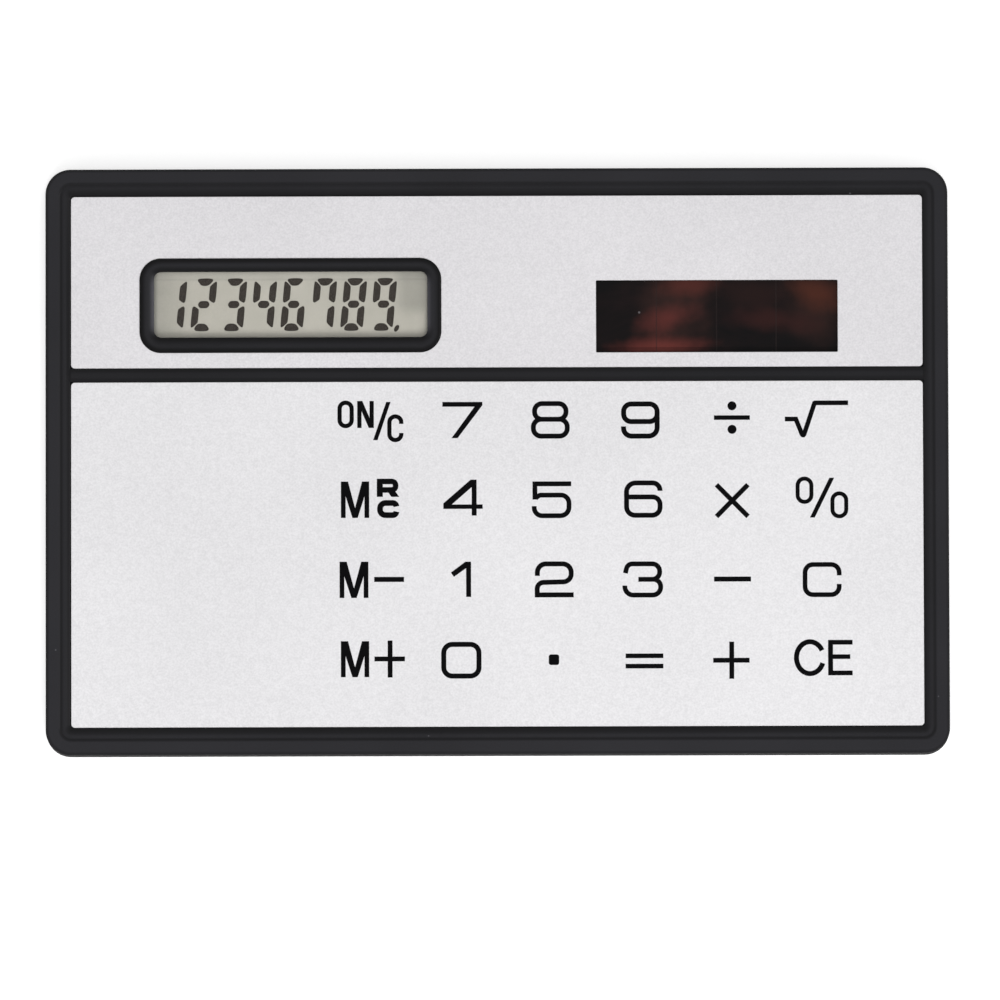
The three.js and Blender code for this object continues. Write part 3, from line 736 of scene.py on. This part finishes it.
def solar():
    """Amorphous silicon behind glass: near black, with soft red-brown clouds, four strips and a thin frame line."""
    n = Nodes("solar_silicon")
    x, y, _ = n.split(n.P)
    wide = n.noise(0.16, 3.0, 0.6, at=n.vector("MULTIPLY", n.P, (1.0, 2.1, 1.0)), distortion=0.6)
    base = (0.0066, 0.0064, 0.0068)
    colour = n.mix(n.range(wide, 0.35, 0.75, 0.0, 1.0), base, (0.0125, 0.0085, 0.0088))
    # centre x, y, half width, half height, tilt, tint, strength
    clouds = (
        (16.9, 14.2, 3.6, 4.2, 0.0, (0.0340, 0.0170, 0.0150), 0.85),
        (30.3, 14.5, 3.9, 3.6, 0.0, (0.0270, 0.0140, 0.0125), 0.85),
        (24.6, 15.9, 4.2, 1.9, -0.10, (0.0200, 0.0105, 0.0100), 0.75),
        (18.3, 17.0, 2.8, 1.25, 0.10, (0.0720, 0.0215, 0.0175), 0.90),
        (16.4, 13.65, 3.0, 1.35, 0.14, (0.0900, 0.0240, 0.0210), 0.90),
        (15.7, 10.9, 4.6, 1.05, 0.03, (0.1180, 0.0290, 0.0245), 0.92),
        (25.9, 13.45, 4.8, 1.25, -0.07, (0.0330, 0.0128, 0.0120), 0.80),
        (30.7, 15.95, 3.1, 1.75, -0.16, (0.0680, 0.0215, 0.0140), 0.85),
    )
    ragged = n.noise(0.34, 3.0, 0.5)
    for cx, cy, rx, ry, tilt, tint, strength in clouds:
        dx = n.math("SUBTRACT", x, cx)
        dy = n.math("SUBTRACT", n.math("SUBTRACT", y, cy), n.math("MULTIPLY", dx, tilt))
        dx, dy = n.math("DIVIDE", dx, rx), n.math("DIVIDE", dy, ry)
        d = n.math("SQRT", n.math("ADD", n.math("MULTIPLY", dx, dx), n.math("MULTIPLY", dy, dy)))
        d = n.math("ADD", d, n.range(ragged, 0.25, 0.75, -0.30, 0.30))
        colour = n.mix(n.range(d, 1.30, 0.05, 0.0, strength, smooth=True), colour, tint)
    for line in CELL_LINES:
        near = n.math("ABSOLUTE", n.math("SUBTRACT", x, line))
        colour = n.mix(n.range(near, 0.07, 0.03, 0.0, 0.40), colour, (0.038, 0.028, 0.028))
    low = n.math("ABSOLUTE", n.math("SUBTRACT", y, 10.80))
    colour = n.mix(n.range(low, 0.07, 0.02, 0.0, 0.35), colour, (0.0045, 0.0040, 0.0045))
    mote = n.vector("DISTANCE", n.P, (13.58, 14.20, SOLAR_TOP))
    colour = n.mix(n.range(mote, 0.14, 0.05, 0.0, 0.55), colour, (0.20, 0.19, 0.20))
    n.principled(colour, n.range(n.noise(0.8, 2.0), 0.3, 0.7, 0.16, 0.24), None, IOR=1.45, Specular_IOR_Level=0.05)
    return n.material


def simple(name, low, high, roughness, scale=2.0, bump=0.1, **plain):
    """A two-tone grained finish for the parts inside the case."""
    n = Nodes(name)
    grain = n.noise(scale, 3.0, 0.6)
    colour = n.mix(n.range(grain, 0.3, 0.7), low, high)
    n.principled(colour, n.range(grain, 0.3, 0.7, roughness - 0.06, roughness + 0.06), n.bump(n.noise(scale * 3), bump, 0.02), **plain)
    return n.material


def board():
    """Green solder mask with faint copper tracks."""
    n = Nodes("board_green")
    x, y, _ = n.split(n.P)
    grain = n.noise(3.0, 3.0, 0.6)
    colour = n.mix(n.range(grain, 0.3, 0.7), (0.018, 0.105, 0.045), (0.028, 0.150, 0.066))
    wave = n.add("ShaderNodeTexWave", wave_type="BANDS", bands_direction="X")
    n.put(wave.inputs["Vector"], n.P)
    wave.inputs["Scale"].default_value = 0.35
    wave.inputs["Distortion"].default_value = 0.0
    colour = n.mix(n.range(wave.outputs["Fac"], 0.55, 0.6, 0.0, 0.5), colour, (0.045, 0.210, 0.090))
    n.principled(colour, 0.38, n.bump(wave.outputs["Fac"], 0.1, 0.02), IOR=1.5)
    return n.material


FINISH = {
    "display_window": clear_window(),
    "lcd_front_polarizer": polarizer(),
    "lcd_front_glass": simple("cell_glass", (0.30, 0.34, 0.31), (0.36, 0.41, 0.37), 0.12, 0.8, 0.02),
    "lcd_reflector": simple("reflector_foil", (0.48, 0.49, 0.45), (0.56, 0.57, 0.52), 0.4, 3.0, 0.1, Metallic=0.5),
    "display_foam_pad": simple("foam_grey", (0.030, 0.031, 0.034), (0.060, 0.062, 0.066), 0.92, 4.0, 0.8),
    "display_ribbon": simple("ribbon_amber", (0.36, 0.17, 0.035), (0.46, 0.24, 0.060), 0.35, 2.0, 0.05),
    "solar_lead_positive": simple("lead_red", (0.36, 0.018, 0.012), (0.44, 0.026, 0.018), 0.42, 3.0, 0.05),
    "solar_lead_negative": simple("lead_black", (0.010, 0.010, 0.011), (0.018, 0.018, 0.019), 0.42, 3.0, 0.05),
    "circuit_board": board(),
    "chip_epoxy_dome": simple("epoxy_black", (0.004, 0.004, 0.0045), (0.009, 0.009, 0.010), 0.22, 1.0, 0.05),
    "supply_capacitor": simple("capacitor_tan", (0.36, 0.24, 0.11), (0.44, 0.30, 0.15), 0.45, 5.0, 0.1),
    "clamp_diode": simple("component_dark", (0.016, 0.016, 0.017), (0.026, 0.026, 0.028), 0.45, 5.0, 0.1),
    "contact_spacer": simple("spacer_film", (0.62, 0.60, 0.52), (0.70, 0.68, 0.60), 0.35, 1.5, 0.03),
    "faceplate_adhesive": simple("adhesive_tan", (0.55, 0.51, 0.40), (0.63, 0.59, 0.48), 0.65, 3.0, 0.2),
}
FINISH["lcd_rear_glass"] = FINISH["lcd_front_glass"]
FINISH["oscillator_resistor"] = FINISH["clamp_diode"]
FINISH["overlay_adhesive"] = FINISH["faceplate_adhesive"]
INK = ink()
CRYSTAL = crystal()
SOLAR_GLASS = solar()
CARBON = simple("contact_carbon", (0.010, 0.010, 0.011), (0.022, 0.022, 0.024), 0.6, 6.0, 0.3)


def dress(o, material, body="case", replaces=()):
    o.data.materials.clear()
    o.data.materials.append(material)
    if body:
        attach(o, body)
    if replaces:
        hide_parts(*replaces)
    return o


for node, material in FINISH.items():
    o = NODES[node]
    o.data.materials.clear()
    o.data.materials.append(material)


# ------------------------------------------------------------------ case
CORNER_N = 14


def ring_outline(d, n=CORNER_N):
    """Outline d inside the outer wall on the long sides, in proportion on the short ones."""
    t = min(1.0, d / BAND)
    dy = t * BAND_Y
    r = CORNER_R + (POCKET_R - CORNER_R) * t
    return rounded(-HX + d, -HY + dy, HX - d, HY - dy, r, n)


def quarter(d0, z0, radius, steps=8):
    """Rounding from a vertical wall at d0 up to a flat top at z0 + radius."""
    return [(d0 + radius * (1 - math.cos(math.pi / 2 * i / steps)), z0 + radius * math.sin(math.pi / 2 * i / steps)) for i in range(steps + 1)]


rim_profile = (
    [(0.03, FRAME_BOTTOM), (0.0, FRAME_BOTTOM + 0.03), (0.0, 2.0)]
    + quarter(0.0, TOP - 0.34, 0.34, 9)
    + [(0.60, 3.0), (1.14, 3.0), (1.21, 2.996), (1.262, 2.984), (1.305, 2.962), (1.345, 2.936), (1.39, 2.915), (1.435, 2.906), (1.48, 2.908), (1.525, 2.917), (1.565, 2.931)]
    + [(1.602, 2.944), (1.645, 2.954), (1.70, 2.960), (1.77, 2.957), (1.85, 2.940), (1.94, 2.905), (2.05, 2.858), (2.16, 2.812), (2.26, 2.770), (2.33, 2.730), (2.37, 2.68)]
    + [(BAND, 2.60), (BAND, DECK_BOTTOM)]
    + [(1.02, DECK_BOTTOM), (1.0, DECK_BOTTOM - 0.02), (1.0, FRAME_BOTTOM)]
)
rim = solid("front_frame_rim", *loft([(ring_outline(d), z) for d, z in rim_profile], closed=True))

# Deck, pockets and pins come from the CAD node, below the silver sheets.
inner = cad_copy("front_frame", "front_frame_inner")
combine(inner, [block("keep", -41.9, -26.9, 0.2, 41.9, 26.9, DECK_TOP)], "INTERSECT")

# Bar between the two silver sheets: soft shoulders and a low rounded crown.
bar_line = [(BAR_LOW, 2.2), (BAR_LOW, 2.70), (BAR_LOW + 0.03, 2.755), (BAR_LOW + 0.10, 2.785), (BAR_LOW + 0.24, 2.80), (BAR_LOW + 0.33, 2.825), (BAR_LOW + 0.42, 2.862), (BAR_LOW + 0.52, 2.88)]
mid = (BAR_LOW + BAR_HIGH) / 2
bar_line += [(2 * mid - y, z) for y, z in reversed(bar_line)]
bar_points = [(x, y, z) for x in (-41.0, 41.0) for y, z in bar_line]
k = len(bar_line)
bar_faces = [(i, (i + 1) % k, k + (i + 1) % k, k + i) for i in range(k)] + [tuple(range(k)), tuple(range(k, 2 * k))]
bar = solid("front_frame_bar", bar_points, bar_faces)


# Bezel ring round the display window.
def between(t, r, n=10):
    """Outline between the ring's outer edge (t 0) and the window (t 1)."""
    b = [RING[i] + (WINDOW[i] - RING[i]) * t for i in range(4)]
    return rounded(*b, r, n)


LENS = (-33.435, 11.225, -5.835, 18.925)
lens_room = rounded(LENS[0] - 0.1, LENS[1] - 0.1, LENS[2] + 0.1, LENS[3] + 0.1, 0.7, 10)
bezel_profile = [(0.0, 2.0, 2.2), (0.0, 2.0, 2.78), (0.012, 1.985, 2.835), (0.05, 1.95, 2.875), (0.11, 1.88, 2.895), (0.18, 1.80, 2.905), (0.24, 1.73, 2.925), (0.30, 1.66, 2.945), (0.37, 1.58, 2.952), (0.44, 1.50, 2.945), (0.53, 1.36, 2.915), (0.64, 1.20, 2.86), (0.76, 1.04, 2.79), (0.88, 0.87, 2.715), (0.95, 0.77, 2.665), (0.985, 0.72, 2.63), (1.0, 0.70, 2.59), (1.0, 0.70, 2.52)]
bezel_loops = [(between(t, r), z) for t, r, z in bezel_profile] + [(lens_room, 2.52), (lens_room, 2.2)]
bezel = solid("front_frame_bezel", *loft(bezel_loops, closed=True))

combine(rim, [inner, bar, bezel])
rim.name = rim.data.name = "case_front"
shade(rim)
dress(rim, CASE, replaces=("front_frame",))

# Rear cover: a finely rounded tray outside, the CAD node's ribs and bosses inside.
rear_cad = cad_copy("rear_cover", "rear_inner")
combine(rear_cad, [block("keep_rear", -42.4, -27.4, 0.35, 42.4, 27.4, 3.0)], "INTERSECT")
tray_profile = [(0.34 * (1 - math.sin(math.pi / 2 * i / 8)), 0.34 * (1 - math.cos(math.pi / 2 * i / 8))) for i in range(9)]
tray_profile += [(0.0, 0.8), (0.0, REAR_TOP - 0.03), (0.03, REAR_TOP), (1.0, REAR_TOP), (1.0, 0.6)]


def rear_outline(d):
    return rounded(-HX + d, -HY + d, HX - d, HY - d, CORNER_R - d, CORNER_N)


tray = solid("rear_tray", *loft([(rear_outline(d), z) for d, z in tray_profile]))
combine(tray, [rear_cad])
tray.name = tray.data.name = "case_back"
shade(tray)
dress(tray, BACK, replaces=("rear_cover",))

# ------------------------------------------------------------------ silver sheets
upper = plate(
    "faceplate_sheet",
    lambda e: rounded(-SHEET_X + e, BAR_HIGH + 0.03 + e, SHEET_X - e, SHEET_Y - e, 0.35 - e * 0.5, 6),
    [
        lambda e: rounded(RING[0] - 0.05 - abs(e), RING[1] - 0.05 - abs(e), RING[2] + 0.05 + abs(e), RING[3] + 0.05 + abs(e), 2.05 + abs(e), 14),
        lambda e: rounded(SOLAR_WINDOW[0] - abs(e), SOLAR_WINDOW[1] - abs(e), SOLAR_WINDOW[2] + abs(e), SOLAR_WINDOW[3] + abs(e), 0.10 + abs(e), 4),
    ],
    SHEET_LOW,
    SHEET_TOP,
    0.025,
)
shade(upper, 40)
dress(upper, PLATE, replaces=("faceplate",))


def rectangle(cx, cy, hx, hy):
    return lambda e: [(cx - hx, cy - hy), (cx + hx, cy - hy), (cx + hx, cy + hy), (cx - hx, cy + hy)]


def film_sheet():
    """The keypad film round the key zones: its outer edge is chamfered, the zones' edges are plain."""
    e = 0.025
    outer = lambda d: rounded(-SHEET_X + d, -SHEET_Y + d, SHEET_X - d, BAR_LOW - 0.03 - d, 0.35 - d * 0.5, 6)
    points, faces, rows = [], [], []
    for make, edge in [(outer, e)] + [(rectangle(*CENTRE[k], PATCH_X, PATCH_Y), 0.0) for row in KEYS for k in row]:
        levels = [(make(0), SHEET_LOW), (make(0), SHEET_TOP - edge)] + ([(make(edge), SHEET_TOP)] if edge else [])
        loops = []
        for outline, z in levels:
            first = len(points)
            points += [(x, y, z) for x, y in outline]
            loops.append(list(range(first, first + len(outline))))
        for a, b in zip(loops, loops[1:]):
            faces += [(a[i], a[(i + 1) % len(a)], b[(i + 1) % len(a)], b[i]) for i in range(len(a))]
        rows.append((loops[0], loops[-1]))
    for which in (0, 1):
        faces += cap(points, [r[which] for r in rows])
    return solid("keypad_film", points, faces)


film = film_sheet()
shade(film, 40)
dress(film, FILM, replaces=("keypad_overlay",))


def follow(o):
    """Bakes the piece's placement into its mesh."""
    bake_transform(o)
    return o


def grid_slab(cx, cy, hx, hy, nx, ny, z0, z1):
    points, faces = [], []
    for z in (z0, z1):
        for j in range(ny + 1):
            for i in range(nx + 1):
                points.append((cx - hx + 2 * hx * i / nx, cy - hy + 2 * hy * j / ny, z))
    at = lambda i, j, top: top * (nx + 1) * (ny + 1) + j * (nx + 1) + i
    for j in range(ny):
        for i in range(nx):
            faces.append((at(i, j, 1), at(i + 1, j, 1), at(i + 1, j + 1, 1), at(i, j + 1, 1)))
            faces.append((at(i, j, 0), at(i, j + 1, 0), at(i + 1, j + 1, 0), at(i + 1, j, 0)))
    for i in range(nx):
        faces.append((at(i, 0, 0), at(i + 1, 0, 0), at(i + 1, 0, 1), at(i, 0, 1)))
        faces.append((at(i + 1, ny, 0), at(i, ny, 0), at(i, ny, 1), at(i + 1, ny, 1)))
    for j in range(ny):
        faces.append((at(0, j + 1, 0), at(0, j, 0), at(0, j, 1), at(0, j + 1, 1)))
        faces.append((at(nx, j, 0), at(nx, j + 1, 0), at(nx, j + 1, 1), at(nx, j, 1)))
    return points, faces


INK_LOW, INK_TOP = 2.742, 2.758
for row in KEYS:
    for key in row:
        cx, cy = CENTRE[key]
        short = key[4:]
        zone = solid(f"film_zone_{short}", *grid_slab(cx, cy, PATCH_X, PATCH_Y, 26, 22, SHEET_LOW, SHEET_TOP))
        shade(zone, 40)
        zone.data.materials.append(FILM)
        follow(zone)
        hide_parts(key)

        shapes = [[(x + cx, y + cy) for x, y in s] for s in shapes_of(LEGENDS[key])]
        legend = weld(solid(f"legend_{short}", *union_slab(shapes, INK_LOW, INK_TOP)))
        shade(legend, 40)
        legend.data.materials.append(INK)
        follow(legend)

        # carbon pill that closes the contact, glued under the film
        pill_loops = [
            ([(cx + r * math.cos(math.pi * i / 18), cy + r * math.sin(math.pi * i / 18)) for i in range(36)], z)
            for r, z in ((1.90, 2.40), (1.97, 2.415), (2.0, 2.44), (2.0, 2.495))
        ]
        pill = solid(f"contact_{short}", *loft(pill_loops))
        shade(pill, 40)
        dress(pill, CARBON, body=key)

# ------------------------------------------------------------------ display digits
U = 0.00971  # one unit of the digit drawing, mm
SEGMENTS = {"1": "bc", "2": "abged", "3": "abgcd", "4": "fgbc", "6": "afgecd", "7": "fabc", "8": "abcdefg", "9": "abfgcd"}


def segment(name):
    """Outline of one segment: mitred uprights, lens-shaped crossbars, y down."""
    upright = [(112, -210), (106, -226), (92, -226), (50, -186), (43, -172), (43, -54), (51, -41), (88, -17), (101, -19), (112, -36)]
    if name == "a":
        return [(-86, -240), (-68, -258), (54, -258), (74, -240), (52, -210), (22, -184), (-40, -184), (-64, -212)]
    if name == "d":
        return [(-64, 212), (-40, 187), (24, 187), (54, 210), (75, 242), (56, 263), (-54, 263), (-75, 244)]
    if name == "g":
        return [(-61, 0), (-44, -29), (-28, -36), (26, -36), (42, -28), (59, 0), (42, 28), (26, 36), (-28, 36), (-44, 29)]
    if name in "bf":
        return upright if name == "b" else [(-x, y) for x, y in reversed(upright)]
    return [(x, -y) for x, y in reversed(upright)] if name == "c" else [(-x, -y) for x, y in upright]


def soften(points, share=0.22, rounds=1):
    """Corner cutting."""
    for _ in range(rounds):
        out = []
        for p, q in zip(points, points[1:] + points[:1]):
            out.append((p[0] + (q[0] - p[0]) * share, p[1] + (q[1] - p[1]) * share))
            out.append((q[0] + (p[0] - q[0]) * share, q[1] + (p[1] - q[1]) * share))
        points = out
    return points


digit_shapes = []
for i, ch in enumerate("12346789"):
    ox, oy = -30.77 + 2.856 * i, 15.09
    for s in SEGMENTS[ch]:
        digit_shapes.append([(ox + (x - 0.095 * y) * U, oy - y * U) for x, y in soften(segment(s), 0.25, 2)])
dot = []
for i in range(24):
    a = 2 * math.pi * i / 24
    x, y = 0.225 * math.cos(a), 0.325 * math.sin(a)
    dot.append((-9.546 + x + 0.35 * y, 12.771 + y))
digit_shapes.append(dot)
digits = solid("display_digits", *union_slab(digit_shapes, 2.098, 2.112))
shade(digits, 40)
dress(digits, CRYSTAL)

# ------------------------------------------------------------------ solar cell
cell_points, cell_faces = [], []


def add_solid(points, faces):
    first = len(cell_points)
    cell_points.extend(points)
    cell_faces.extend(tuple(first + i for i in f) for f in faces)


glass_loops = [
    (rounded(SOLAR[0] + e, SOLAR[1] + e, SOLAR[2] - e, SOLAR[3] - e, 0.12, 3), z)
    for e, z in ((0.04, SOLAR_LOW), (0.0, SOLAR_LOW + 0.04), (0.0, 2.32), (0.03, 2.345))
]
cell = solid("solar_glass", *loft(glass_loops))
edges = [SOLAR[0] + 0.35, *CELL_LINES, SOLAR[2] - 0.35]
strips = []
for i in range(4):
    a, b = edges[i] + 0.025, edges[i + 1] - 0.025
    loops = [(rounded(a + e, SOLAR[1] + 0.35 + e, b - e, SOLAR[3] - 0.35 - e, 0.06, 2), z) for e, z in ((0.0, 2.30), (0.0, 2.37), (0.01, SOLAR_TOP))]
    strips.append(solid(f"strip_{i}", *loft(loops)))
combine(cell, strips)
cell.name = cell.data.name = "solar_cell_glass"
shade(cell, 30)
dress(cell, SOLAR_GLASS, replaces=("solar_cell",))

# ------------------------------------------------------------------ floor, lights, camera
floor = bpy.data.objects.new("floor", mesh("floor", [(x, y, -0.02) for x, y in ((-9e3, -9e3), (9e3, -9e3), (9e3, 9e3), (-9e3, 9e3))], [(0, 1, 2, 3)]))
bpy.context.scene.collection.objects.link(floor)
n = Nodes("floor_pale")
n.principled(n.mix(n.noise(0.02, 2.0), (0.90, 0.90, 0.90), (0.93, 0.93, 0.93)), 0.7, None, IOR=1.2, Emission_Color=(1, 1, 1, 1), Emission_Strength=0.42)
floor.data.materials.append(n.material)

world = bpy.data.worlds.new("studio")
bpy.context.scene.world = world
world.use_nodes = True
world.node_tree.nodes["Background"].inputs[0].default_value = (1, 1, 1, 1)
world.node_tree.nodes["Background"].inputs[1].default_value = 0.56


def softbox(name, place, aim, width, height, radiance):
    """A square light that gives about that much light back per unit of solid angle."""
    data = bpy.data.lights.new(name, "AREA")
    data.shape = "RECTANGLE"
    data.size, data.size_y = width, height
    data.energy = radiance * math.pi * width * height
    o = bpy.data.objects.new(name, data)
    o.location = place
    o.rotation_euler = (Vector(aim) - Vector(place)).to_track_quat("-Z", "Y").to_euler()
    o.visible_camera = False
    bpy.context.scene.collection.objects.link(o)
    return o


key = softbox("key_light", (-0.002, -0.25, 0.225), (0, 0, 0), 0.36, 0.14, 4.5)
key.visible_glossy = False
softbox("side_light", (0.90, -0.08, 0.52), (0, 0, 0), 0.50, 0.50, 2.0)
fill = softbox("top_light", (0.12, 0.10, 0.9), (0, 0, 0), 0.60, 0.60, 1.1)
fill.visible_glossy = False

scene = bpy.context.scene
scene.view_settings.view_transform = "Standard"
scene.view_settings.look = "None"

cam_data = bpy.data.cameras.new("camera")
cam_data.sensor_width = 36.0
cam_data.lens = 604.02
cam_data.clip_start, cam_data.clip_end = 0.05, 50.0
camera = bpy.data.objects.new("camera", cam_data)
scene.collection.objects.link(camera)
elevation, roll, distance = math.radians(85.0), math.radians(0.1614), 1.6
back = Vector((0.0, -math.cos(elevation), math.sin(elevation)))
right = (-back).cross(Vector((0, 0, 1))).normalized()
up = right.cross(-back)
turned_right = right * math.cos(roll) - up * math.sin(roll)
turned_up = right * math.sin(roll) + up * math.cos(roll)
place = Matrix((turned_right, turned_up, back)).transposed().to_4x4()
place.translation = Vector((0.264 * MM, -3.501 * MM, 0.0)) + back * distance
camera.matrix_world = place
scene.camera = camera
